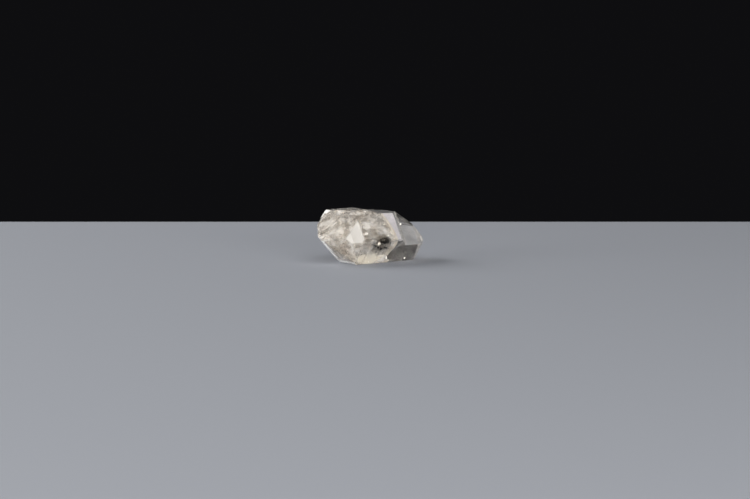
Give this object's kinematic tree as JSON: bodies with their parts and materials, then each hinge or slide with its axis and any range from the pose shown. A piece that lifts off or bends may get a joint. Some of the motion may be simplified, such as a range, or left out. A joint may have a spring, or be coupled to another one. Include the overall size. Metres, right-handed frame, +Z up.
{
  "type": "quartz crystal",
  "caption": "Natural quartz crystal with a point at both ends, milky at the left and clear at the right, lying flat on a prism face.",
  "frame": {"origin": "centre of the bounding box in X and Y, on the plane the crystal rests on", "axes": "+X along the prism axis toward the clear point, +Z up from the face it rests on, -Y toward the front"},
  "size_m": [0.0202, 0.0104, 0.0087],
  "materials": {
    "quartz": "clear to milky, lustrous crystal faces"
  },
  "bodies": {
    "root": {"quartz_crystal": "quartz"}
  },
  "joints": []
}
